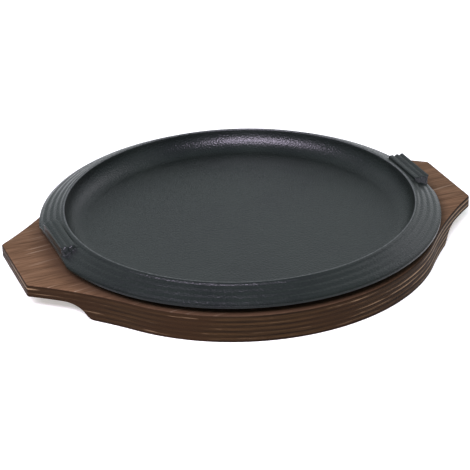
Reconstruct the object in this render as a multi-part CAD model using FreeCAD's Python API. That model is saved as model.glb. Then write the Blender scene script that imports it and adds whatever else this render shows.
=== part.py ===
import FreeCAD, Part
import math
import os

# Cast iron serving dish on its plywood serving board, in millimetres.
# The origin is on the table under the middle of the board: +Z is up, and the handles point along X.

# Pocket in the board that the dish sits in
POCKET_DEPTH = 2.5
POCKET_CLEARANCE = 0.6

# Plywood board: a round body around the pocket, with one thin tab handle at each end
BOARD_WALL = 11.2
BOARD_THICKNESS = 16.5
BOARD_EDGE_BREAK = 0.6

# Tab handles, as long as they stand out from the body
HANDLE_LENGTH = 22.0
HANDLE_END_HALF_WIDTH = 27.7
HANDLE_THICKNESS = 7.5
HANDLE_FLANK_DEG = 37.5
HANDLE_CORNER_RADIUS = 2.5
HANDLE_BODY_FILLET = 260.0
HANDLE_FLANK_LEAST = 1.0

# Undercut below each handle: a convex arc at the foot, then a concave one up to the handle
UNDERCUT_SETBACK = 9.0
UNDERCUT_FOOT_RADIUS = 4.0
UNDERCUT_SLOPE_DEG = 65.0

# Basin of the dish
FLOOR_THICKNESS = 4.0
BASIN_DEPTH = 12.25
COVE_RADIUS = 12.0
WALL_DRAFT_DEG = 8.0
WALL_THICKNESS = 4.0
FOOT_RADIUS = 12.5

# Level crest around the basin, with broken edges
CREST_INNER_RADIUS = 104.4
CREST_WIDTH = 1.7
CREST_INNER_BREAK = 0.35
CREST_OUTER_BREAK = 0.5

# Sloping rim outside the crest: a riser, then treads and risers in turn, and an upright lip
STEP_COUNT = 3
STEP_PITCH = 3.87
TREAD_WIDTH = 1.9
TREAD_DROP = 0.45
RISER_DROP = 1.3
FIRST_RISER_WIDTH = 1.4
FIRST_RISER_DROP = 1.23
LAST_RISER_WIDTH = 2.74
LIP_HEIGHT = 1.4

# Underside of the rim
RIM_ROOT_BELOW_CREST = 4.25

# Flats cut into the rim's edge at both ends
RIM_FLAT_DEPTH = 3.3

# Grip lugs cast over the steps, between a gap along the crest and the flats: three ridges, two grooves
LUG_GAP = 1.8
LUG_SETBACK = 0.25
LUG_HALF_LENGTH = 18.5
LUG_ABOVE_CREST = 0.45
LUG_DRAFT_DEG = 10.0
LUG_ROUND = 0.8
LUG_SKIN = 0.6
LUG_RIDGE_PITCH = 3.55
LUG_GROOVE_COUNT = 2
LUG_GROOVE_RADIUS = 1.2
LUG_GROOVE_DEPTH = 0.9

# Heights and radii that follow from the sizes above
HANDLE_UNDERSIDE = BOARD_THICKNESS - HANDLE_THICKNESS
DISH_BASE = BOARD_THICKNESS - POCKET_DEPTH
FLOOR_TOP = DISH_BASE + FLOOR_THICKNESS
CREST_TOP = FLOOR_TOP + BASIN_DEPTH
CREST_OUTER_RADIUS = CREST_INNER_RADIUS + CREST_WIDTH
RIM_ROOT = CREST_TOP - RIM_ROOT_BELOW_CREST
LUG_TOP = CREST_TOP + LUG_ABOVE_CREST
LUG_INNER_X = CREST_OUTER_RADIUS + LUG_GAP

# How far a cutter reaches past what it cuts
CLEAR = 10.0

os.makedirs("parts", exist_ok=True)


def toward(a, b, distance):
    """Point at a distance from a on the way to b."""
    return a + (b - a).normalize() * distance


def corner_arc(before, corner, after, radius):
    """Start, middle and end of the arc that rounds a corner."""
    u = (before - corner).normalize()
    w = (after - corner).normalize()
    half = u.getAngle(w) / 2
    setback = radius / math.tan(half)
    centre = corner + (u + w).normalize() * (radius / math.sin(half))
    middle = toward(centre, corner, radius)
    return corner + u * setback, middle, corner + w * setback


def rounded_loop(corners):
    """Closed wire through (point, radius) corners, each rounded by its own radius."""
    edges = []
    spans = []
    for k, (corner, radius) in enumerate(corners):
        before = corners[k - 1][0]
        after = corners[(k + 1) % len(corners)][0]
        if radius:
            start, middle, end = corner_arc(before, corner, after, radius)
            edges.append(Part.Arc(start, middle, end).toShape())
        else:
            start = end = corner
        spans.append((start, end))
    for k, (start, end) in enumerate(spans):
        edges.append(Part.LineSegment(spans[k - 1][1], start).toShape())
    return Part.Wire(Part.__sortEdges__(edges))


def side_point(r, z):
    """Point in the XZ plane, where every section is drawn."""
    return FreeCAD.Vector(r, 0, z)


def revolved(corners):
    """Solid of revolution about Z from rounded (r, z, radius) corners, with its seam at +Y."""
    loop = rounded_loop([(side_point(r, z), radius) for r, z, radius in corners])
    solid = Part.Face(loop).revolve(FreeCAD.Vector(), FreeCAD.Vector(0, 0, 1), 360)
    solid.rotate(FreeCAD.Vector(), FreeCAD.Vector(0, 0, 1), 90)
    return solid


def inner_wall_radius(z):
    """Radius of the basin's drafted wall at a height."""
    return CREST_INNER_RADIUS - (CREST_TOP - z) * math.tan(math.radians(WALL_DRAFT_DEG))


def outer_wall_radius(z):
    """Radius of the outside of the dish's wall at a height."""
    return inner_wall_radius(z) + WALL_THICKNESS / math.cos(math.radians(WALL_DRAFT_DEG))


def crest_corners():
    """Corners of the crest: the top of the basin's wall, two broken edges and the top of the riser."""
    inner_z = CREST_TOP - CREST_INNER_BREAK
    outer_z = CREST_TOP - CREST_OUTER_BREAK
    riser_slope = FIRST_RISER_WIDTH / FIRST_RISER_DROP
    return [
        (inner_wall_radius(inner_z), inner_z, 0),
        (CREST_INNER_RADIUS + CREST_INNER_BREAK, CREST_TOP, 0),
        (CREST_OUTER_RADIUS - CREST_OUTER_BREAK, CREST_TOP, 0),
        (CREST_OUTER_RADIUS + CREST_OUTER_BREAK * riser_slope, outer_z, 0),
    ]


def largest_round(radius, height):
    """A rounding between a level face and the drafted wall, limited so that a wall of this height keeps
    a straight part."""
    half_corner = math.radians(90 + WALL_DRAFT_DEG) / 2
    straight_share = 0.95
    return min(radius, straight_share * height * math.tan(half_corner))


def step_corners():
    """Corners of the stepped rim, from the crest's first riser out to the last tread's edge."""
    r = CREST_OUTER_RADIUS + FIRST_RISER_WIDTH
    z = CREST_TOP - FIRST_RISER_DROP
    corners = []
    for _ in range(STEP_COUNT):
        corners.append((r, z, 0))
        corners.append((r + TREAD_WIDTH, z - TREAD_DROP, 0))
        r += STEP_PITCH
        z -= TREAD_DROP + RISER_DROP
    return corners


def rim_edge():
    """Outer radius of the rim and the height of its lower edge."""
    last_r, last_z, _ = step_corners()[-1]
    riser_slope = RISER_DROP / (STEP_PITCH - TREAD_WIDTH)
    lip_top = last_z - LAST_RISER_WIDTH * riser_slope
    return last_r + LAST_RISER_WIDTH, lip_top - LIP_HEIGHT


def rim_flat_reach():
    """Distance of the rim's flats from the middle of the dish."""
    return rim_edge()[0] - RIM_FLAT_DEPTH


def lug_reach():
    """Distance of a lug's outer face from the middle of the dish."""
    return rim_flat_reach() - LUG_SETBACK


def underside_height(r):
    """Height of the rim's underside, on a straight line from its root to its outer edge."""
    edge_r, edge_z = rim_edge()
    root_r = outer_wall_radius(RIM_ROOT)
    return RIM_ROOT + (edge_z - RIM_ROOT) * (r - root_r) / (edge_r - root_r)


def dish_section():
    """Corners of the dish's section, from the middle of the floor out over the rim and back below."""
    edge_r, edge_z = rim_edge()
    corners = [
        (0, FLOOR_TOP, 0),
        (inner_wall_radius(FLOOR_TOP), FLOOR_TOP, largest_round(COVE_RADIUS, BASIN_DEPTH)),
    ]
    corners += crest_corners() + step_corners()
    corners += [
        (edge_r, edge_z + LIP_HEIGHT, 0),
        (edge_r, edge_z, 0),
        (outer_wall_radius(RIM_ROOT), RIM_ROOT, 0),
        (outer_wall_radius(DISH_BASE), DISH_BASE, largest_round(FOOT_RADIUS, RIM_ROOT - DISH_BASE)),
        (0, DISH_BASE, 0),
    ]
    return corners


def lug_side_profile():
    """Face of a lug seen from the side: level on top, and following the rim's underside below."""
    inner_bottom = underside_height(LUG_INNER_X) + LUG_SKIN
    spread = (LUG_TOP - inner_bottom) * math.tan(math.radians(LUG_DRAFT_DEG))
    outer_x = lug_reach()
    points = [
        (LUG_INNER_X, LUG_TOP, LUG_ROUND),
        (outer_x, LUG_TOP, LUG_ROUND),
        (outer_x, underside_height(outer_x) + LUG_SKIN, 0),
        (LUG_INNER_X - spread, inner_bottom, 0),
    ]
    return Part.Face(rounded_loop([(side_point(x, z), radius) for x, z, radius in points]))


def lug_end_profile():
    """Face of a lug seen from its outer side, with drafted ends and rounded top edges."""
    bottom = underside_height(lug_reach())
    spread = (LUG_TOP - bottom) * math.tan(math.radians(LUG_DRAFT_DEG))
    half_top = LUG_HALF_LENGTH
    half_bottom = LUG_HALF_LENGTH + spread
    points = [
        (-half_bottom, bottom, 0),
        (-half_top, LUG_TOP, LUG_ROUND),
        (half_top, LUG_TOP, LUG_ROUND),
        (half_bottom, bottom, 0),
    ]
    return Part.Face(rounded_loop([(FreeCAD.Vector(0, y, z), radius) for y, z, radius in points]))


def lug_groove(x):
    """Long round cutter for one of the grooves along a lug."""
    centre_z = LUG_TOP + LUG_GROOVE_RADIUS - LUG_GROOVE_DEPTH
    length = 2 * (LUG_HALF_LENGTH + CLEAR)
    start = FreeCAD.Vector(x, -length / 2, centre_z)
    return Part.makeCylinder(LUG_GROOVE_RADIUS, length, start, FreeCAD.Vector(0, 1, 0))


def grip_lug():
    """The lug at the +X end, with straight grooves along its top."""
    width = 2 * (LUG_HALF_LENGTH + CLEAR)
    side = lug_side_profile()
    side.translate(FreeCAD.Vector(0, -width / 2, 0))
    body = side.extrude(FreeCAD.Vector(0, width, 0))
    ends = lug_end_profile().extrude(FreeCAD.Vector(lug_reach() + CLEAR, 0, 0))
    lug = body.common(ends)
    for k in range(LUG_GROOVE_COUNT):
        lug = lug.cut(lug_groove(LUG_INNER_X + (k + 1) * LUG_RIDGE_PITCH))
    return lug


def half_turn(shape):
    """Copy of a shape turned half way round the vertical axis."""
    copy = shape.copy()
    copy.rotate(FreeCAD.Vector(), FreeCAD.Vector(0, 0, 1), 180)
    return copy


def flat_ends(shape):
    """A shape trimmed to flats at both ends, where the lugs stand."""
    reach = rim_flat_reach()
    width = 2 * (rim_edge()[0] + CLEAR)
    corner = FreeCAD.Vector(-reach, -width / 2, 0)
    keep = Part.makeBox(2 * reach, width, CREST_TOP + CLEAR, corner)
    return shape.common(keep)


def cast_iron_plate():
    """The dish: basin, stepped rim and both lugs, cast in one piece."""
    dish = flat_ends(revolved(dish_section()))
    lug = grip_lug()
    return dish.fuse([lug, half_turn(lug)]).removeSplitter()


def pocket_radius():
    """Radius of the board's pocket, a clearance wider than the dish at the board's top."""
    return outer_wall_radius(BOARD_THICKNESS) + POCKET_CLEARANCE


def board_radius():
    """Radius of the board's round body."""
    return pocket_radius() + BOARD_WALL


def handle_reach():
    """Distance of a handle's end from the middle of the board."""
    return board_radius() + HANDLE_LENGTH


def body_fillet(flank_start, outward):
    """Radius of the hollow between a flank and the body: as named, or less where the flank is short."""
    room = flank_start.dot(flank_start) - board_radius() ** 2
    largest = room / (2 * (board_radius() - flank_start.dot(outward)))
    return min(HANDLE_BODY_FILLET, largest)


def flank_edges():
    """Edges of a quarter of the board's outline, from the middle of a handle's end round to +Y."""
    body_radius = board_radius()
    flank = math.radians(HANDLE_FLANK_DEG)
    along = FreeCAD.Vector(-math.cos(flank), math.sin(flank), 0)
    outward = FreeCAD.Vector(math.sin(flank), math.cos(flank), 0)
    end_middle = FreeCAD.Vector(handle_reach(), 0, 0)
    corner = FreeCAD.Vector(handle_reach(), HANDLE_END_HALF_WIDTH, 0)
    start, middle, end = corner_arc(end_middle, corner, corner + along, HANDLE_CORNER_RADIUS)
    fillet = body_fillet(end + along * HANDLE_FLANK_LEAST, outward)
    across = corner.dot(outward) + fillet
    reach = body_radius + fillet
    centre = outward * across - along * math.sqrt(reach ** 2 - across ** 2)
    on_flank = centre - outward * fillet
    on_body = toward(FreeCAD.Vector(), centre, body_radius)
    between = toward(centre, (on_flank + on_body) / 2, fillet)
    top = FreeCAD.Vector(0, body_radius, 0)
    body_middle = toward(FreeCAD.Vector(), on_body + top, body_radius)
    return [
        Part.LineSegment(end_middle, start),
        Part.Arc(start, middle, end),
        Part.LineSegment(end, on_flank),
        Part.Arc(on_flank, between, on_body),
        Part.Arc(on_body, body_middle, top),
    ]


def board_outline():
    """Closed outline of the board, from one quarter mirrored about both axes."""
    quarter = Part.Wire([curve.toShape() for curve in flank_edges()])
    half = [quarter, quarter.mirror(FreeCAD.Vector(), FreeCAD.Vector(1, 0, 0))]
    whole = half + [wire.mirror(FreeCAD.Vector(), FreeCAD.Vector(0, 1, 0)) for wire in half]
    edges = [edge for wire in whole for edge in wire.Edges]
    return Part.Wire(Part.__sortEdges__(edges))


def undercut():
    """Cutter that thins the +X handle from below, with an S-shaped inner side."""
    slope = math.radians(UNDERCUT_SLOPE_DEG)
    foot_x = board_radius() - UNDERCUT_SETBACK
    upper_radius = HANDLE_UNDERSIDE / (1 - math.cos(slope)) - UNDERCUT_FOOT_RADIUS
    foot_centre = side_point(foot_x, UNDERCUT_FOOT_RADIUS)
    end_x = foot_x + (UNDERCUT_FOOT_RADIUS + upper_radius) * math.sin(slope)
    top_centre = side_point(end_x, HANDLE_UNDERSIDE - upper_radius)

    def on_foot(angle):
        return foot_centre + side_point(math.sin(angle), -math.cos(angle)) * UNDERCUT_FOOT_RADIUS

    def on_top(angle):
        return top_centre + side_point(-math.sin(angle), math.cos(angle)) * upper_radius

    far_x = handle_reach() + CLEAR
    outline = [
        on_foot(0),
        side_point(foot_x, -CLEAR),
        side_point(far_x, -CLEAR),
        side_point(far_x, HANDLE_UNDERSIDE),
        on_top(0),
    ]
    edges = [Part.LineSegment(a, b).toShape() for a, b in zip(outline, outline[1:])]
    edges.append(Part.Arc(on_foot(0), on_foot(slope / 2), on_foot(slope)).toShape())
    edges.append(Part.Arc(on_top(slope), on_top(slope / 2), on_top(0)).toShape())
    face = Part.Face(Part.Wire(Part.__sortEdges__(edges)))
    face.translate(FreeCAD.Vector(0, -board_radius(), 0))
    return face.extrude(FreeCAD.Vector(0, 2 * board_radius(), 0))


def pocket():
    """Cutter for the round pocket that the dish stands in."""
    return Part.makeCylinder(pocket_radius(), POCKET_DEPTH + CLEAR, FreeCAD.Vector(0, 0, DISH_BASE))


def wooden_base():
    """The plywood board: round body, pocket and two undercut tab handles."""
    board = Part.Face(board_outline()).extrude(FreeCAD.Vector(0, 0, BOARD_THICKNESS))
    board = board.makeChamfer(BOARD_EDGE_BREAK, level_edges(board))
    cutter = undercut()
    return board.cut([pocket(), cutter, half_turn(cutter)])


def level_edges(shape):
    """Edges that lie flat, around the top and the bottom of an extruded shape."""
    return [edge for edge in shape.Edges if edge.BoundBox.ZLength < BOARD_EDGE_BREAK / 2]


for name, build in (("cast_iron_plate", cast_iron_plate), ("wooden_base", wooden_base)):
    build().exportStep(f"parts/{name}.step")
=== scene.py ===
import bisect
import math

import bmesh
import bpy
from mathutils import Matrix, Vector


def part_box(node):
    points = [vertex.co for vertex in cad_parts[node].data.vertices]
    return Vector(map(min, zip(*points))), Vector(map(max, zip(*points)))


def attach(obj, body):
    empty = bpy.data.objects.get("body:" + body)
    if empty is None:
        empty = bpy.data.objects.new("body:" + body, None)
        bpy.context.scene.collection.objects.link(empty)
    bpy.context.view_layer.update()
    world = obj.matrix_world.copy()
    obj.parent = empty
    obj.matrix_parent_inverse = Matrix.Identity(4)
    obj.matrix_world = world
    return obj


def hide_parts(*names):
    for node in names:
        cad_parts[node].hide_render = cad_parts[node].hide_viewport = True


# Cast iron serving dish on its stained plywood board, in metres.
# The dish and the board are built again in fine mesh round the sizes of the frame.

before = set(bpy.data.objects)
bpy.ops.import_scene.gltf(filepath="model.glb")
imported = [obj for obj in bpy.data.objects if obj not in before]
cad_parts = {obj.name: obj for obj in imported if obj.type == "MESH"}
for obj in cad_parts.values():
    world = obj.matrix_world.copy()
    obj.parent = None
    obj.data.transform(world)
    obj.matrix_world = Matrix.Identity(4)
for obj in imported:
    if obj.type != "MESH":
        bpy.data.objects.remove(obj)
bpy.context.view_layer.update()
plate_low, plate_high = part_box("cast_iron_plate")
_, board_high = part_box("wooden_base")

# Heights and reaches that the frame gives
DISH_BASE = plate_low.z
LUG_TOP = plate_high.z
RIM_FLAT = plate_high.x
RIM_RADIUS = plate_high.y
BOARD_TOP = board_high.z
BOARD_RADIUS = board_high.y
HANDLE_REACH = board_high.x

# Basin and crest of the dish
LUG_RISE = 0.00045
CREST_TOP = LUG_TOP - LUG_RISE
FLOOR_THICKNESS = 0.004
FLOOR_TOP = DISH_BASE + FLOOR_THICKNESS
COVE_RADIUS = 0.012
WALL_DRAFT = math.radians(8)
WALL_THICKNESS = 0.004
FOOT_RADIUS = 0.0125
CREST_INNER_RADIUS = 0.1044
CREST_WIDTH = 0.0017
CREST_MIDDLE_RADIUS = CREST_INNER_RADIUS + CREST_WIDTH / 2
CREST_OUTER_RADIUS = CREST_INNER_RADIUS + CREST_WIDTH
CREST_INNER_ROUND = 0.0005
CREST_OUTER_ROUND = 0.002

# Stepped rim outside the crest
STEP_COUNT = 3
STEP_PITCH = 0.00387
TREAD_WIDTH = 0.0019
TREAD_DROP = 0.00045
RISER_DROP = 0.0013
FIRST_RISER_WIDTH = 0.0014
FIRST_RISER_DROP = 0.00123
STEP_HOLLOW = 0.0015
STEP_NOSE = 0.0025
LIP_HEIGHT = 0.0014
EDGE_ROUND = 0.00025
RIM_ROOT_DROP = 0.00425
RIM_ROOT = CREST_TOP - RIM_ROOT_DROP
ROOT_ROUND = 0.001

# Grip lugs at both ends of the rim: a gap along the crest, then three ridges with two grooves
LUG_GAP = 0.0018
LUG_SETBACK = 0.00025
LUG_INNER_X = CREST_OUTER_RADIUS + LUG_GAP
LUG_REACH = RIM_FLAT - LUG_SETBACK
LUG_HALF_LENGTH = 0.0185
LUG_ROUND = 0.0008
LUG_DEPTH = 0.0062
LUG_DRAFT = math.radians(10)
LUG_RIDGE_PITCH = 0.00355
LUG_GROOVE_COUNT = 2
LUG_GROOVE_HALF_WIDTH = 0.0014
LUG_GROOVE_DEPTH = 0.0009
LUG_GROOVE_POINTS = (-1, -0.7, -0.4, 0, 0.4, 0.7, 1)
LUG_FILLET = 0.0006

# Plywood board
PLY_COUNT = 11
PLY_THICKNESS = BOARD_TOP / PLY_COUNT
GLUE_GROOVE_DEPTH = 0.00008
GLUE_GROOVE_HALF_WIDTH = PLY_THICKNESS / 6
BOARD_TOP_ROUND = 0.0009
BOARD_FOOT_ROUND = 0.0005
POCKET_WALL = 0.0112
POCKET_RADIUS = BOARD_RADIUS - POCKET_WALL
POCKET_EDGE_ROUND = 0.0004
HANDLE_THICKNESS = 0.0075
HANDLE_END_HALF_WIDTH = 0.0277
HANDLE_FLANK = math.radians(37.5)
HANDLE_CORNER_RADIUS = 0.0025
HANDLE_BODY_FILLET = 0.26
UNDERCUT_INSET = 0.009
UNDERCUT_X = BOARD_RADIUS - UNDERCUT_INSET
UNDERCUT_FOOT_RADIUS = 0.004
UNDERCUT_SLOPE = math.radians(65)

# How finely the meshes are divided
ARC_STEP = 0.0012
RIM_STEP = 0.00035
FLOOR_STEP = 0.012
UNDERSIDE_STEP = 0.003
EDGE_ARC_PARTS = 3
MERGE_DISTANCE = 0.00001
SHARP_ANGLE = math.radians(38)

# Mesh lines past a lug: how many, how much closer together beside it, and how soon they turn radial
LINES_PAST_LUG = 112
LINE_CROWDING = 0.4
LINE_TURNING = math.radians(8)


def rounded(corners):
    """Polyline through (r, z, radius) corners, with an arc at each corner that has a radius."""
    points = []
    for k, (r, z, radius) in enumerate(corners):
        corner = Vector((r, z))
        if not radius:
            points.append(corner)
            continue
        back = (Vector(corners[k - 1][:2]) - corner).normalized()
        ahead = (Vector(corners[k + 1][:2]) - corner).normalized()
        half = back.angle(ahead) / 2
        centre = corner + (back + ahead).normalized() * radius / math.sin(half)
        start = corner + back * radius / math.tan(half) - centre
        end = corner + ahead * radius / math.tan(half) - centre
        steps = max(3, math.ceil(radius * (math.pi - 2 * half) / ARC_STEP))
        points += [centre + start.slerp(end, j / steps).normalized() * radius for j in range(steps + 1)]
    return points


def divided(points, longest):
    """The same polyline with its long stretches divided evenly."""
    result = [points[0]]
    for start, end in zip(points, points[1:]):
        parts = max(1, math.ceil((end - start).length / longest))
        result += [start.lerp(end, k / parts) for k in range(1, parts + 1)]
    return result


def resampled(points, count):
    """A polyline's points taken again at even distances, so many of them."""
    lengths = [0.0]
    for start, end in zip(points, points[1:]):
        lengths.append(lengths[-1] + (end - start).length)
    result = []
    for k in range(count):
        target = lengths[-1] * k / (count - 1)
        j = min(max(bisect.bisect_left(lengths, target), 1), len(points) - 1)
        share = (target - lengths[j - 1]) / (lengths[j] - lengths[j - 1])
        result.append(points[j - 1].lerp(points[j], share))
    return result


def direction(angle):
    """Level direction at an angle from +X."""
    return Vector((math.cos(angle), math.sin(angle)))


def quarter_turns(parts):
    """Angles from 0 to a right angle in even steps."""
    return [math.pi / 2 * k / parts for k in range(parts + 1)]


def smooth_step(low, high, value):
    """Soft rise from 0 at low to 1 at high."""
    share = min(max((value - low) / (high - low), 0), 1)
    return share * share * (3 - 2 * share)


def soft_max(a, b, width):
    """The larger of two heights, with a fillet about as wide as said where they meet."""
    if width <= 0:
        return max(a, b)
    overlap = max(width - abs(a - b), 0) / width
    return max(a, b) + overlap * overlap * width / 4


def inner_wall(z):
    """Radius of the basin's wall at a height."""
    return CREST_INNER_RADIUS - (CREST_TOP - z) * math.tan(WALL_DRAFT)


def outer_wall(z):
    """Radius of the outside of the dish's wall at a height."""
    return inner_wall(z) + WALL_THICKNESS / math.cos(WALL_DRAFT)


def basin_profile():
    """The basin from its middle out to the top of the crest."""
    corners = [
        (0, FLOOR_TOP, 0),
        (inner_wall(FLOOR_TOP), FLOOR_TOP, COVE_RADIUS),
        (CREST_INNER_RADIUS, CREST_TOP, CREST_INNER_ROUND),
        (CREST_MIDDLE_RADIUS, CREST_TOP, 0),
    ]
    return divided(rounded(corners), FLOOR_STEP)


def rim_profile():
    """The rim from the top of the crest down its steps to the lip's outer edge."""
    corners = [
        (CREST_MIDDLE_RADIUS, CREST_TOP, 0),
        (CREST_OUTER_RADIUS, CREST_TOP, CREST_OUTER_ROUND),
    ]
    r = CREST_OUTER_RADIUS + FIRST_RISER_WIDTH
    z = CREST_TOP - FIRST_RISER_DROP
    riser_slope = RISER_DROP / (STEP_PITCH - TREAD_WIDTH)
    for _ in range(STEP_COUNT):
        corners.append((r, z, STEP_HOLLOW))
        corners.append((r + TREAD_WIDTH, z - TREAD_DROP, STEP_NOSE))
        r += STEP_PITCH
        z -= TREAD_DROP + RISER_DROP
    nose_r, nose_z, _ = corners[-1]
    corners.append((RIM_RADIUS, nose_z - (RIM_RADIUS - nose_r) * riser_slope, 0))
    return divided(rounded(corners), RIM_STEP)


def gap_inner_x():
    """Where the lug's drafted inner side starts, at the bottom of the gap along the crest."""
    return LUG_INNER_X - (LUG_TOP - CREST_TOP + FIRST_RISER_DROP) * math.tan(LUG_DRAFT)


def lug_profile(count):
    """The top and outer face of a lug, from the top of the crest to below the rim's surface."""
    gap_z = CREST_TOP - FIRST_RISER_DROP
    corners = [
        (CREST_MIDDLE_RADIUS, CREST_TOP, 0),
        (CREST_OUTER_RADIUS, CREST_TOP, CREST_OUTER_ROUND),
        (CREST_OUTER_RADIUS + FIRST_RISER_WIDTH, gap_z, 0),
        (gap_inner_x(), gap_z, 0),
        (LUG_INNER_X, LUG_TOP, LUG_ROUND),
    ]
    for k in range(1, LUG_GROOVE_COUNT + 1):
        groove = LUG_INNER_X + k * LUG_RIDGE_PITCH
        for share in LUG_GROOVE_POINTS:
            depth = LUG_GROOVE_DEPTH * math.cos(share * math.pi / 2) ** 2
            corners.append((groove + share * LUG_GROOVE_HALF_WIDTH, LUG_TOP - depth, 0))
    corners.append((LUG_REACH, LUG_TOP, LUG_ROUND))
    corners.append((LUG_REACH, LUG_TOP - LUG_DEPTH, 0))
    return resampled(rounded(corners), count)


def underside_profile():
    """The underside, from the rim's lower edge in to the middle of the base."""
    lip_bottom = rim_profile()[-1].y - LIP_HEIGHT
    corners = [
        (RIM_RADIUS, lip_bottom, 0),
        (outer_wall(RIM_ROOT), RIM_ROOT, ROOT_ROUND),
        (outer_wall(DISH_BASE), DISH_BASE, FOOT_RADIUS),
        (0, DISH_BASE, 0),
    ]
    return divided(rounded(corners), UNDERSIDE_STEP)


def height_at(profile, radius):
    """Height of a profile of rising radius at one radius."""
    radii = [point.x for point in profile]
    k = min(max(bisect.bisect_left(radii, radius), 1), len(profile) - 1)
    before, after = profile[k - 1], profile[k]
    if after.x == before.x:
        return after.y
    return before.y + (after.y - before.y) * (radius - before.x) / (after.x - before.x)


# Profiles that all mesh lines of the dish share
BASIN = basin_profile()
RIM = rim_profile()
LUG = lug_profile(len(RIM))
UNDERSIDE = underside_profile()


def height_under(radius):
    """Height of the underside of the rim at a radius."""
    root_radius = outer_wall(RIM_ROOT)
    slope = (UNDERSIDE[0].y - RIM_ROOT) / (RIM_RADIUS - root_radius)
    return RIM_ROOT + slope * (radius - root_radius)


def lug_rows():
    """Rows over half a lug: how far each lies from the lug's middle, and how far the lug has sunk."""
    middle_rows, round_rows, wall_rows = 14, 4, 7
    straight = LUG_HALF_LENGTH - LUG_ROUND
    rows = [(straight * k / middle_rows, 0.0) for k in range(middle_rows)]
    for turn in quarter_turns(round_rows):
        rows.append((straight + LUG_ROUND * math.sin(turn), LUG_ROUND * (1 - math.cos(turn))))
    for k in range(1, wall_rows + 1):
        sunk = LUG_ROUND + (LUG_DEPTH - LUG_ROUND) * k / wall_rows
        rows.append((LUG_HALF_LENGTH + (sunk - LUG_ROUND) * math.tan(LUG_DRAFT), sunk))
    return rows


class Meridian:
    """A line of the dish's mesh: out from the middle to the crest, and on across the rim.

    It meets the crest at an angle and goes on from there with a heading of its own. On a lug it also
    says how far the lug's top has sunk along it.
    """

    def __init__(self, angle, heading, sunk=None):
        self.angle = angle
        self.sunk = sunk
        self.start = direction(angle) * CREST_INNER_RADIUS
        self.way = direction(heading)
        to_flat = (RIM_FLAT - self.start.x) / self.way.x if self.way.x > 0.01 else math.inf
        self.length = min(to_flat, self.distance(RIM_RADIUS))

    def distance(self, radius):
        """How far along the line, from the crest's inner edge, a radius is reached."""
        ahead = self.start.dot(self.way)
        return math.sqrt(ahead ** 2 + radius ** 2 - CREST_INNER_RADIUS ** 2) - ahead

    def at(self, distance, z):
        """Point at a distance along the line."""
        place = self.start + self.way * distance
        return Vector((place.x, place.y, z))

    def on(self, radius, z):
        """Point at a radius: on the ray from the middle inside the crest, and on the line outside it."""
        if radius <= CREST_INNER_RADIUS:
            place = self.start * radius / CREST_INNER_RADIUS
            return Vector((place.x, place.y, z))
        return self.at(min(self.distance(radius), self.length - EDGE_ROUND), z)

    def rim_point(self, k):
        """Point of the rim's surface, for the profile's point k."""
        point = self.on(*RIM[k])
        radius = Vector(point.xy).length
        return Vector((point.x, point.y, height_at(RIM, radius)))

    def lug_point(self, k):
        """Point of a lug's surface, for the profile's point k, softly joined to the rim."""
        y = self.start.y
        x, z = LUG[k]

        # The crest curves away behind the straight lug, so the gap between them widens
        behind_straight = CREST_OUTER_RADIUS - math.sqrt(CREST_OUTER_RADIUS ** 2 - y ** 2)
        riser_foot = CREST_OUTER_RADIUS + FIRST_RISER_WIDTH
        x -= behind_straight * (1 - smooth_step(riser_foot, gap_inner_x(), x))

        # Towards the lug's end its outer face draws in, and the points go over to those of the rim
        outside = smooth_step(LUG_REACH - LUG_ROUND, LUG_REACH, x)
        x -= min(self.sunk, LUG_ROUND) * outside
        to_rim = smooth_step(LUG_ROUND, LUG_DEPTH, self.sunk)
        x += (self.rim_point(k).x - x) * to_rim

        rim_z = height_at(RIM, math.hypot(x, y))
        fillet = LUG_FILLET * smooth_step(riser_foot, LUG_INNER_X, x)
        return Vector((x, y, soft_max(rim_z, z - self.sunk, fillet)))

    def edge_points(self):
        """Points down the rounded outer edge, from the top of the rim to its underside."""
        inner = self.length - EDGE_ROUND
        radius = (self.start + self.way * self.length).length
        top = height_at(RIM, (self.start + self.way * inner).length)
        bottom = height_under(radius)
        upper = []
        lower = []
        for turn in quarter_turns(EDGE_ARC_PARTS):
            sine, cosine = EDGE_ROUND * math.sin(turn), EDGE_ROUND * math.cos(turn)
            upper.append(self.at(inner + sine, top - EDGE_ROUND + cosine))
            lower.append(self.at(inner + cosine, bottom + EDGE_ROUND - sine))
        return upper + lower

    def section(self):
        """All points of the line, over the top, down the edge and back below to the middle."""
        points = [self.on(r, z) for r, z in BASIN[:-1]]
        if self.sunk is None:
            points += [self.rim_point(k) for k in range(len(RIM))]
        else:
            points += [self.lug_point(k) for k in range(len(RIM))]
        points += self.edge_points()
        limit = (self.start + self.way * (self.length - EDGE_ROUND)).length
        for r, z in UNDERSIDE:
            if r > outer_wall(RIM_ROOT):
                z = height_under(min(r, limit))
            points.append(self.on(r, z))
        return points


def plate_sections():
    """Sections of the dish over its first quarter, from the middle of a lug round to +Y."""
    lines = [Meridian(math.asin(y / CREST_INNER_RADIUS), 0.0, sunk) for y, sunk in lug_rows()]
    lug_end = lines[-1].angle
    past_lug = math.pi / 2 - lug_end
    for k in range(1, LINES_PAST_LUG + 1):
        share = k / LINES_PAST_LUG
        angle = lug_end + past_lug * share * (1 - LINE_CROWDING + LINE_CROWDING * share)
        heading = angle * smooth_step(lug_end, lug_end + LINE_TURNING, angle)
        lines.append(Meridian(angle, heading))
    return [line.section() for line in lines]


def mirrored(sections, x_sign, y_sign):
    """Mirror images of sections across one or both upright planes."""
    return [[Vector((p.x * x_sign, p.y * y_sign, p.z)) for p in section] for section in sections]


def all_round(quarter, shares_x_axis):
    """Sections all the way round, from those of the first quarter, which may start on the X axis."""
    half = quarter + mirrored(quarter[-2::-1], -1, 1)
    other = half[-2:0:-1] if shares_x_axis else half[::-1]
    return half + mirrored(other, 1, -1)


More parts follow.
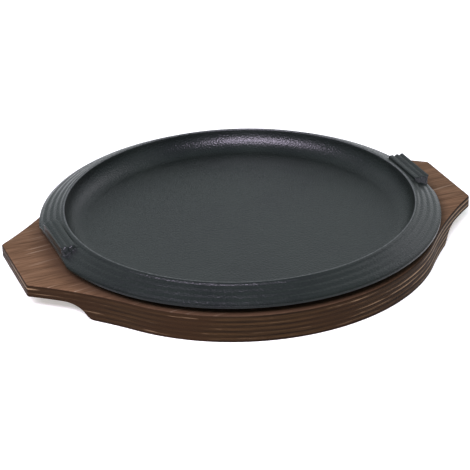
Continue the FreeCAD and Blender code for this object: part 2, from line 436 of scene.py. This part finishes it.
def skin(sections):
    """Vertices and faces of the closed surface through a ring of sections."""
    points_each = len(sections[0])
    vertices = [point for section in sections for point in section]
    faces = []
    for i in range(len(sections)):
        here = i * points_each
        there = (i + 1) % len(sections) * points_each
        for j in range(points_each - 1):
            faces.append((here + j, here + j + 1, there + j + 1, there + j))
    return vertices, faces


def make_object(name, vertices, faces, material):
    """Mesh object with doubled points merged, smooth faces and sharp corners kept."""
    mesh = bpy.data.meshes.new(name)
    mesh.from_pydata(vertices, [], faces)
    bm = bmesh.new()
    bm.from_mesh(mesh)
    bmesh.ops.remove_doubles(bm, verts=bm.verts, dist=MERGE_DISTANCE)
    bmesh.ops.dissolve_degenerate(bm, edges=bm.edges, dist=MERGE_DISTANCE)
    bmesh.ops.recalc_face_normals(bm, faces=bm.faces)
    bm.to_mesh(mesh)
    bm.free()
    mesh.shade_smooth()
    mesh.set_sharp_from_angle(angle=SHARP_ANGLE)
    mesh.materials.append(material)
    obj = bpy.data.objects.new(name, mesh)
    bpy.context.scene.collection.objects.link(obj)
    return obj


# Shader helpers. A span gives the values at which a mask is 0 and 1, and a stretch multiplies each axis.

def add_node(tree, kind, **values):
    """New shader node with its properties and its inputs set by name."""
    node = tree.nodes.new(kind)
    for name, value in values.items():
        if hasattr(node, name):
            setattr(node, name, value)
        else:
            label = name.replace("_", " ").title()
            if isinstance(value, bpy.types.NodeSocket):
                tree.links.new(value, node.inputs[label])
            else:
                node.inputs[label].default_value = value
    return node


def new_material(name):
    """Material with its node tree and its surface shader."""
    material = bpy.data.materials.new(name)
    material.use_nodes = True
    tree = material.node_tree
    return material, tree, tree.nodes["Principled BSDF"]


def noise_field(tree, coordinates, stretch, detail=3.0, roughness=0.55, distortion=0.0):
    """Noise over coordinates that are multiplied axis by axis, as a value about 0.5."""
    scaled = add_node(tree, "ShaderNodeMapping", Vector=coordinates, Scale=stretch)
    field = add_node(tree, "ShaderNodeTexNoise", Vector=scaled.outputs["Vector"], Scale=1.0, Detail=detail,
                     Roughness=roughness, Distortion=distortion)
    return field.outputs["Fac"]


def mask(tree, value, low, high):
    """Value that goes from 0 to 1 as another goes from low to high, which may be a fall."""
    node = tree.nodes.new("ShaderNodeMapRange")
    tree.links.new(value, node.inputs["Value"])
    node.inputs["From Min"].default_value = low
    node.inputs["From Max"].default_value = high
    return node.outputs["Result"]


def ramp(tree, value, low, high, dark, light):
    """Colour that goes from dark to light as a value goes from low to high."""
    return mix(tree, mask(tree, value, low, high), dark, light)


def mix(tree, factor, first, second):
    """Colour mixed from two colours or colour sockets."""
    node = tree.nodes.new("ShaderNodeMix")
    node.data_type = "RGBA"
    for socket, value in zip((node.inputs[0], node.inputs[6], node.inputs[7]), (factor, first, second)):
        if isinstance(value, bpy.types.NodeSocket):
            tree.links.new(value, socket)
        elif isinstance(value, (int, float)):
            socket.default_value = value
        else:
            socket.default_value = (*value, 1)
    return node.outputs[2]


def math_node(tree, operation, *values):
    """Result of one calculation on values or value sockets."""
    node = tree.nodes.new("ShaderNodeMath")
    node.operation = operation
    for socket, value in zip(node.inputs, values):
        if isinstance(value, bpy.types.NodeSocket):
            tree.links.new(value, socket)
        else:
            socket.default_value = value
    return node.outputs[0]


def radius_node(tree, axes):
    """Distance of a point from the upright axis through the middle."""
    squares = [math_node(tree, "POWER", axes[name], 2) for name in ("X", "Y")]
    return math_node(tree, "SQRT", math_node(tree, "ADD", *squares))


def bump(tree, height, distance, normal=None):
    """Normal bent by a height field of that depth."""
    node = tree.nodes.new("ShaderNodeBump")
    tree.links.new(height, node.inputs["Height"])
    node.inputs["Distance"].default_value = distance
    if normal is not None:
        tree.links.new(normal, node.inputs["Normal"])
    return node.outputs["Normal"]


# Cast iron: near black with a green cast, slow changes of tone, a sand grain and a light crest edge that
# is partly rubbed bare metal and partly painted highlight

IRON_DARK = (0.002, 0.003, 0.003)
IRON_LIGHT = (0.010, 0.014, 0.011)
# Light colour of the crest's inner edge: rubbed bare metal and a painted highlight
IRON_BARE_AND_HIGHLIGHT = (0.11, 0.115, 0.115)
IRON_TINT = (0.93, 0.89, 1.0, 1)
IRON_TONE_SPAN = (0.35, 0.65)
IRON_ROUGHNESS = 0.24
IRON_ROUGHNESS_SPREAD = 0.12
IRON_GLOSS = 0.5
PATCH_STRETCH = (26, 26, 26)
PATCH_RELIEF = 0.0003
SAND_STRETCH = (900, 900, 900)
SAND_RELIEF = 0.00026
GRAIN_STRETCH = (1500, 1500, 1500)
GRAIN_RELIEF = 0.0001
WEAR_AND_HIGHLIGHT_WIDTH = 0.0007
RIM_SMOOTHING = 0.2
RIM_SMOOTHING_SPAN = (CREST_INNER_RADIUS - 0.001, CREST_INNER_RADIUS + 0.002)
LIP_WIDTH = 0.0015
LIP_DULLNESS = 0.35


def crest_wear_and_highlight(tree, radius, height, grain):
    """Mask of the crest's inner edge, broken up by the grain, where use has rubbed it bare and where a
    highlight is painted along it.
    """
    offset = math_node(tree, "SUBTRACT", radius, CREST_INNER_RADIUS + WEAR_AND_HIGHLIGHT_WIDTH / 2)
    near_edge = mask(tree, math_node(tree, "ABSOLUTE", offset), WEAR_AND_HIGHLIGHT_WIDTH, WEAR_AND_HIGHLIGHT_WIDTH / 3)
    near_top = mask(tree, height, CREST_TOP - WEAR_AND_HIGHLIGHT_WIDTH, CREST_TOP - WEAR_AND_HIGHLIGHT_WIDTH / 3)
    edge = math_node(tree, "MULTIPLY", near_edge, near_top)
    return math_node(tree, "MULTIPLY", edge, mask(tree, grain, 0.35, 0.6))


def iron_colour(tree, patches, grain, wear_and_highlight):
    """Colour of the casting: slow patches mixed with fine grain, and a light colour on the crest's edge
    for bare metal and a painted highlight.
    """
    slow = ramp(tree, patches, *IRON_TONE_SPAN, IRON_DARK, IRON_LIGHT)
    fine = ramp(tree, grain, *IRON_TONE_SPAN, IRON_DARK, IRON_LIGHT)
    return mix(tree, wear_and_highlight, mix(tree, 0.5, slow, fine), IRON_BARE_AND_HIGHLIGHT)


def iron_relief(tree, patches, grain, sand, radius):
    """Normal of the casting: slow waves, sand marks that are shallower on the rim, and fine grain."""
    on_rim = mask(tree, radius, *RIM_SMOOTHING_SPAN)
    coarseness = math_node(tree, "MULTIPLY_ADD", on_rim, -RIM_SMOOTHING, 1.0)
    normal = bump(tree, patches, PATCH_RELIEF)
    normal = bump(tree, math_node(tree, "MULTIPLY", sand, coarseness), SAND_RELIEF, normal)
    return bump(tree, grain, GRAIN_RELIEF, normal)


def cast_iron():
    """Material of the dish."""
    material, tree, shader = new_material("cast_iron_finish")
    place = add_node(tree, "ShaderNodeTexCoord").outputs["Object"]
    axes = add_node(tree, "ShaderNodeSeparateXYZ", Vector=place).outputs
    radius = radius_node(tree, axes)
    patches = noise_field(tree, place, PATCH_STRETCH, detail=4)
    sand = noise_field(tree, place, SAND_STRETCH, detail=1)
    grain = noise_field(tree, place, GRAIN_STRETCH, detail=2, roughness=0.65)
    # Rubbed bare metal and a painted highlight along the crest's inner edge
    wear_and_highlight = crest_wear_and_highlight(tree, radius, axes["Z"], grain)
    roughness = math_node(tree, "MULTIPLY_ADD", patches, IRON_ROUGHNESS_SPREAD, IRON_ROUGHNESS)
    on_lip = mask(tree, radius, RIM_RADIUS - LIP_WIDTH, RIM_RADIUS)
    gloss = math_node(tree, "MULTIPLY_ADD", on_lip, -LIP_DULLNESS, IRON_GLOSS)
    normal = iron_relief(tree, patches, grain, sand, radius)
    shader.inputs["Specular Tint"].default_value = IRON_TINT
    tree.links.new(iron_colour(tree, patches, grain, wear_and_highlight), shader.inputs["Base Color"])
    tree.links.new(roughness, shader.inputs["Roughness"])
    tree.links.new(gloss, shader.inputs["Specular IOR Level"])
    tree.links.new(normal, shader.inputs["Normal"])
    return material


# Plywood: walnut stain, grain along the handles, and stacked plies at the edge

STAIN_DARK = (0.043, 0.021, 0.010)
STAIN_LIGHT = (0.202, 0.115, 0.065)
FIGURE_STRETCH = (9, 95, 95)
PORE_STRETCH = (45, 1100, 1100)
SCRATCH = (0.36, 0.26, 0.18)
SCRATCH_TURN = math.radians(-7)
SCRATCH_STRETCH = (14, 330, 1)
# Painted shade: the board's face darkens towards the dish, as if the dish's rim shaded it
RIM_SHADE_PAINT = (0.055, 0.032, 0.020)
RIM_SHADE_SPAN = (0.127, 0.117)
RIM_SHADE_STRENGTH = 0.75
EDGE_STAIN = (0.022, 0.010, 0.004)
EDGE_STAIN_STRETCH = (16, 16, 30)
EDGE_STAIN_STRENGTH = 0.75
DROWNED_X_SPAN = (0.03, -0.07)
PLY_LONG_GRAIN = (0.044, 0.023, 0.009)
PLY_END_GRAIN = (0.004, 0.002, 0.001)
PLY_WAVE = 0.0005
PLY_WAVE_STRETCH = (14, 14, 14)
PLY_SHIFT = 0.65
PLY_BARE = (0.26, 0.17, 0.10)
BARE_STRETCH = (26, 26, 700)
BARE_RIGHT_X_SPAN = (0.02, 0.10)
BARE_LEFT_X_SPAN = (-0.10, -0.13)
FIBRE_STRETCH = (34, 34, 2000)
WOOD_ROUGHNESS = 0.6
WOOD_GLOSS = 0.06
WOOD_RELIEF = 0.00005


def board_face(tree, place, radius):
    """Colour of the level faces: figure and pores along X, light scratches, and painted shade round the
    dish, as if its rim shaded the board.
    """
    figure = noise_field(tree, place, FIGURE_STRETCH, detail=5, roughness=0.65, distortion=0.8)
    pores = noise_field(tree, place, PORE_STRETCH, detail=3, roughness=0.7)
    colour = ramp(tree, figure, 0.30, 0.66, STAIN_DARK, STAIN_LIGHT)
    colour = mix(tree, 0.5, colour, ramp(tree, pores, 0.34, 0.62, STAIN_DARK, STAIN_LIGHT))
    turned = add_node(tree, "ShaderNodeMapping", Vector=place, Rotation=(0, 0, SCRATCH_TURN))
    scratches = noise_field(tree, turned.outputs["Vector"], SCRATCH_STRETCH, detail=2, distortion=0.3)
    colour = mix(tree, mask(tree, scratches, 0.61, 0.76), colour, SCRATCH)
    # Painted shade round the dish, darkest next to its rim
    painted_rim_shade = mask(tree, radius, *RIM_SHADE_SPAN)
    return mix(tree, math_node(tree, "MULTIPLY", painted_rim_shade, RIM_SHADE_STRENGTH), colour, RIM_SHADE_PAINT), pores


def ply_turn(tree, place, height):
    """Value that swings between 0 and 1 from one ply to the next, along slightly wavy layers."""
    wave = noise_field(tree, place, PLY_WAVE_STRETCH, detail=2)
    level = math_node(tree, "MULTIPLY_ADD", wave, PLY_WAVE, height)
    ply = math_node(tree, "DIVIDE", level, PLY_THICKNESS)
    return math_node(tree, "PINGPONG", math_node(tree, "SUBTRACT", ply, PLY_SHIFT), 1.0)


def drowned_share(tree, place, axes):
    """Where the stain hides the plies: in patches, and more of them towards -X."""
    patches = noise_field(tree, place, EDGE_STAIN_STRETCH, detail=3)
    to_left = mask(tree, axes["X"], *DROWNED_X_SPAN)
    patches = math_node(tree, "MULTIPLY_ADD", to_left, 0.2, patches)
    return math_node(tree, "MULTIPLY", mask(tree, patches, 0.54, 0.72), EDGE_STAIN_STRENGTH)


def bare_share(tree, place, axes, turn):
    """Where light plies are rubbed bare: in streaks, more of them towards +X and at the far -X end."""
    streaks = noise_field(tree, place, BARE_STRETCH, detail=3, roughness=0.65)
    to_right = mask(tree, axes["X"], *BARE_RIGHT_X_SPAN)
    far_left = mask(tree, axes["X"], *BARE_LEFT_X_SPAN)
    streaks = math_node(tree, "MULTIPLY_ADD", to_right, 0.22, streaks)
    streaks = math_node(tree, "MULTIPLY_ADD", far_left, 0.12, streaks)
    return math_node(tree, "MULTIPLY", mask(tree, streaks, 0.57, 0.70), mask(tree, turn, 0.6, 0.9))


def board_edge(tree, place, axes):
    """Colour of the edge: dark and light plies in turn, in places drowned in stain or rubbed bare."""
    turn = ply_turn(tree, place, axes["Z"])
    colour = ramp(tree, turn, 0.3, 0.7, PLY_END_GRAIN, PLY_LONG_GRAIN)
    fibres = noise_field(tree, place, FIBRE_STRETCH, detail=4, roughness=0.7)
    colour = mix(tree, 0.6, colour, ramp(tree, fibres, 0.35, 0.65, PLY_END_GRAIN, PLY_LONG_GRAIN))
    colour = mix(tree, drowned_share(tree, place, axes), colour, EDGE_STAIN)
    return mix(tree, bare_share(tree, place, axes, turn), colour, PLY_BARE), fibres


def stained_plywood():
    """Material of the board."""
    material, tree, shader = new_material("stained_plywood_finish")
    place = add_node(tree, "ShaderNodeTexCoord").outputs["Object"]
    axes = add_node(tree, "ShaderNodeSeparateXYZ", Vector=place).outputs
    facing = add_node(tree, "ShaderNodeNewGeometry").outputs["Normal"]
    upright = add_node(tree, "ShaderNodeSeparateXYZ", Vector=facing).outputs["Z"]
    is_face = mask(tree, math_node(tree, "ABSOLUTE", upright), 0.6, 0.9)
    face, pores = board_face(tree, place, radius_node(tree, axes))
    edge, fibres = board_edge(tree, place, axes)
    tree.links.new(mix(tree, is_face, edge, face), shader.inputs["Base Color"])
    shader.inputs["Roughness"].default_value = WOOD_ROUGHNESS
    shader.inputs["Specular IOR Level"].default_value = WOOD_GLOSS
    normal = bump(tree, pores, WOOD_RELIEF)
    normal = bump(tree, fibres, WOOD_RELIEF, normal)
    tree.links.new(normal, shader.inputs["Normal"])
    return material


def on_arc(centre, radius, angle, outward=1):
    """Point of an arc and its outward direction: outward is -1 where the arc is hollow."""
    way = direction(angle)
    return centre + way * radius * outward, way


def handle_corner(flank_way, flank_reach):
    """Middle of the round at a handle's corner, which touches the handle's end and its flank."""
    x = HANDLE_REACH - HANDLE_CORNER_RADIUS
    y = (flank_reach - HANDLE_CORNER_RADIUS - x * flank_way.x) / flank_way.y
    return Vector((x, y))


def outline_quarter():
    """Points and outward directions of the board's outline, from a handle's corner round to +Y."""
    flank_angle = math.pi / 2 - HANDLE_FLANK
    flank_way = direction(flank_angle)
    flank_reach = Vector((HANDLE_REACH, HANDLE_END_HALF_WIDTH)).dot(flank_way)
    corner = handle_corner(flank_way, flank_reach)
    fillet_reach = BOARD_RADIUS + HANDLE_BODY_FILLET
    turn = math.acos((flank_reach + HANDLE_BODY_FILLET) / fillet_reach)
    fillet_angle = flank_angle - turn
    fillet = direction(fillet_angle) * fillet_reach
    corner_steps, flank_steps, fillet_steps, body_steps = 10, 16, 48, 60
    points = [on_arc(corner, HANDLE_CORNER_RADIUS, flank_angle * k / corner_steps)
              for k in range(corner_steps + 1)]
    flank_start = points[-1][0]
    flank_end = fillet - flank_way * HANDLE_BODY_FILLET
    points += [(flank_start.lerp(flank_end, k / flank_steps), flank_way) for k in range(1, flank_steps)]
    for k in range(fillet_steps):
        points.append(on_arc(fillet, HANDLE_BODY_FILLET, flank_angle - turn * k / fillet_steps, -1))
    for k in range(body_steps + 1):
        angle = fillet_angle + (math.pi / 2 - fillet_angle) * k / body_steps
        points.append(on_arc(Vector((0, 0)), BOARD_RADIUS, angle))
    return points


def underside_of_board(x):
    """Height of the board's underside: level in the middle, then up an S to the thin handle."""
    handle_underside = BOARD_TOP - HANDLE_THICKNESS
    upper_radius = handle_underside / (1 - math.cos(UNDERCUT_SLOPE)) - UNDERCUT_FOOT_RADIUS
    change = UNDERCUT_X + UNDERCUT_FOOT_RADIUS * math.sin(UNDERCUT_SLOPE)
    end = UNDERCUT_X + (UNDERCUT_FOOT_RADIUS + upper_radius) * math.sin(UNDERCUT_SLOPE)
    x = abs(x)
    if x <= UNDERCUT_X:
        return 0.0
    if x <= change:
        return UNDERCUT_FOOT_RADIUS - math.sqrt(UNDERCUT_FOOT_RADIUS ** 2 - (x - UNDERCUT_X) ** 2)
    if x < end:
        return handle_underside - upper_radius + math.sqrt(upper_radius ** 2 - (end - x) ** 2)
    return handle_underside


def edge_rows():
    """Heights down the board's edge, with the depth that each lies behind the outline."""
    rows = []
    for k in range(1, PLY_COUNT):
        z = BOARD_TOP - k * PLY_THICKNESS
        rows.append((z + GLUE_GROOVE_HALF_WIDTH, 0.0))
        rows.append((z, GLUE_GROOVE_DEPTH))
        rows.append((z - GLUE_GROOVE_HALF_WIDTH, 0.0))
    return rows


def board_section(point, outward):
    """Section of the board at a point of its outline, from the middle of the pocket to its lower edge."""
    ray = point.normalized()
    turns = quarter_turns(EDGE_ARC_PARTS)
    bottom = underside_of_board(point.x)
    section = [(ray * POCKET_RADIUS * share, DISH_BASE) for share in (0, 0.6, 1)]
    section += [(ray * (POCKET_RADIUS + POCKET_EDGE_ROUND * (1 - math.cos(turn))),
                 BOARD_TOP - POCKET_EDGE_ROUND * (1 - math.sin(turn))) for turn in turns]
    section += [(point - outward * BOARD_TOP_ROUND * (1 - math.sin(turn)),
                 BOARD_TOP - BOARD_TOP_ROUND * (1 - math.cos(turn))) for turn in turns]
    low = bottom + BOARD_FOOT_ROUND
    for z, depth in edge_rows():
        if z < BOARD_TOP - BOARD_TOP_ROUND:
            section.append((point - outward * (depth if z > low else 0.0), max(z, low)))
    section += [(point - outward * BOARD_FOOT_ROUND * (1 - math.cos(turn)),
                 bottom + BOARD_FOOT_ROUND * (1 - math.sin(turn))) for turn in turns]
    return [Vector((place.x, place.y, z)) for place, z in section]


def strips_across(count, points_each):
    """Faces that close the board's underside, from each section to its mirror image across the X axis."""
    faces = []
    for k in range(count // 2 - 1):
        here = (k + 1) * points_each - 1
        mirror = (count - k) * points_each - 1
        faces.append((here, mirror, mirror - points_each, here + points_each))
    return faces


def build_board():
    """The plywood board, with its pocket, layered edge and undercut handles."""
    quarter = [board_section(point, outward) for point, outward in outline_quarter()]
    sections = all_round(quarter, shares_x_axis=False)
    vertices, faces = skin(sections)
    faces += strips_across(len(sections), len(sections[0]))
    board = make_object("plywood_board", vertices, faces, stained_plywood())
    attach(board, "root")
    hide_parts("wooden_base")


def build_plate():
    """The cast iron dish: basin, crest, stepped rim and both grip lugs."""
    sections = all_round(plate_sections(), shares_x_axis=True)
    vertices, faces = skin(sections)
    plate = make_object("cast_iron_dish", vertices, faces, cast_iron())
    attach(plate, "root")
    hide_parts("cast_iron_plate")


# Camera of the catalogue view: it looks towards +Y and a little towards +X, from above, slightly rolled

CAMERA_AZIMUTH = math.radians(20.712)
CAMERA_ELEVATION = math.radians(26.781)
CAMERA_ROLL = math.radians(-1.711)
CAMERA_TARGET = Vector((0.0011, 0.0124, 0))
CAMERA_DISTANCE = 1.075
CAMERA_LENS = 134.72
SENSOR_WIDTH = 36


def build_camera():
    """Camera at the catalogue view's angle, distance and focal length."""
    level_back = Vector((-math.sin(CAMERA_AZIMUTH), -math.cos(CAMERA_AZIMUTH), 0))
    back = level_back * math.cos(CAMERA_ELEVATION) + Vector((0, 0, math.sin(CAMERA_ELEVATION)))
    right = Vector((math.cos(CAMERA_AZIMUTH), -math.sin(CAMERA_AZIMUTH), 0))
    up = back.cross(right)
    rolled_right = right * math.cos(CAMERA_ROLL) + up * math.sin(CAMERA_ROLL)
    rolled_up = up * math.cos(CAMERA_ROLL) - right * math.sin(CAMERA_ROLL)
    turn = Matrix((rolled_right, rolled_up, back)).transposed()
    data = bpy.data.cameras.new("camera")
    data.sensor_width = SENSOR_WIDTH
    data.lens = CAMERA_LENS
    camera = bpy.data.objects.new("camera", data)
    camera.matrix_world = Matrix.Translation(CAMERA_TARGET + back * CAMERA_DISTANCE) @ turn.to_4x4()
    bpy.context.scene.collection.objects.link(camera)
    bpy.context.scene.camera = camera


# Soft panels on a dome round the dish, over a pale floor and under a faint sky.
# Each has a name, colour, azimuth and elevation in degrees, width, height and brightness.

DOME_RADIUS = 1.8
WHITE = (1, 1, 1)
VIOLET = (1.05, 0.96, 1.11)
PANELS = (
    ("back_low", WHITE, 69, 10, 1.35, 0.6, 0.35),
    ("back_right_low", WHITE, 24, 10, 1.35, 0.6, 0.4),
    ("back_left_low", WHITE, 114, 10, 1.35, 0.6, 0.1),
    ("back", WHITE, 69, 35, 1.1, 0.8, 0.3),
    ("back_right", WHITE, 24, 35, 1.1, 0.8, 1.2),
    ("right", WHITE, -21, 35, 1.1, 0.8, 0.2),
    ("key", VIOLET, 240, 46, 0.9, 0.42, 27.0),
    ("key_left", VIOLET, 205, 44, 0.9, 0.6, 6.0),
    ("back_left", WHITE, 114, 35, 1.1, 0.8, 0.4),
    ("left_high", WHITE, 159, 60, 0.7, 0.75, 0.3),
)
FLOOR_HALF_WIDTH = 6.0
FLOOR_COLOUR = (0.95, 0.95, 0.95, 1)
FLOOR_ROUGHNESS = 0.9
FLOOR_GLOW = 0.4
SKY_COLOUR = (0.80, 0.96, 0.98, 1)
SKY_STRENGTH = 0.38


def light_panel(name, colour, azimuth, elevation, width, height, brightness):
    """Soft rectangular light on the dome, facing the dish: its power grows with brightness and area."""
    data = bpy.data.lights.new(name, "AREA")
    data.shape = "RECTANGLE"
    data.size = width
    data.size_y = height
    data.color = colour
    data.energy = brightness * math.pi * width * height
    light = bpy.data.objects.new(name, data)
    turn, rise = math.radians(azimuth), math.radians(elevation)
    way = Vector((math.cos(turn) * math.cos(rise), math.sin(turn) * math.cos(rise), math.sin(rise)))
    light.location = way * DOME_RADIUS
    light.rotation_euler = (-way).to_track_quat("-Z", "Y").to_euler()
    bpy.context.scene.collection.objects.link(light)


def build_floor():
    """Plain pale floor that glows a little, like a light table."""
    half = FLOOR_HALF_WIDTH
    corners = [(-half, -half, 0), (half, -half, 0), (half, half, 0), (-half, half, 0)]
    material, _, shader = new_material("pale_floor")
    shader.inputs["Base Color"].default_value = FLOOR_COLOUR
    shader.inputs["Roughness"].default_value = FLOOR_ROUGHNESS
    shader.inputs["Specular IOR Level"].default_value = 0.0
    shader.inputs["Emission Color"].default_value = (*WHITE, 1)
    shader.inputs["Emission Strength"].default_value = FLOOR_GLOW
    floor = make_object("floor", corners, [(0, 1, 2, 3)], material)


def build_stage():
    """Floor, soft panels of light and a faint sky."""
    build_floor()
    for panel in PANELS:
        light_panel(*panel)
    world = bpy.data.worlds.new("sky")
    world.use_nodes = True
    sky = world.node_tree.nodes["Background"]
    sky.inputs["Color"].default_value = SKY_COLOUR
    sky.inputs["Strength"].default_value = SKY_STRENGTH
    bpy.context.scene.world = world
    bpy.context.scene.view_settings.view_transform = "Standard"


build_plate()
build_board()
build_stage()
build_camera()

bpy.context.view_layer.update()
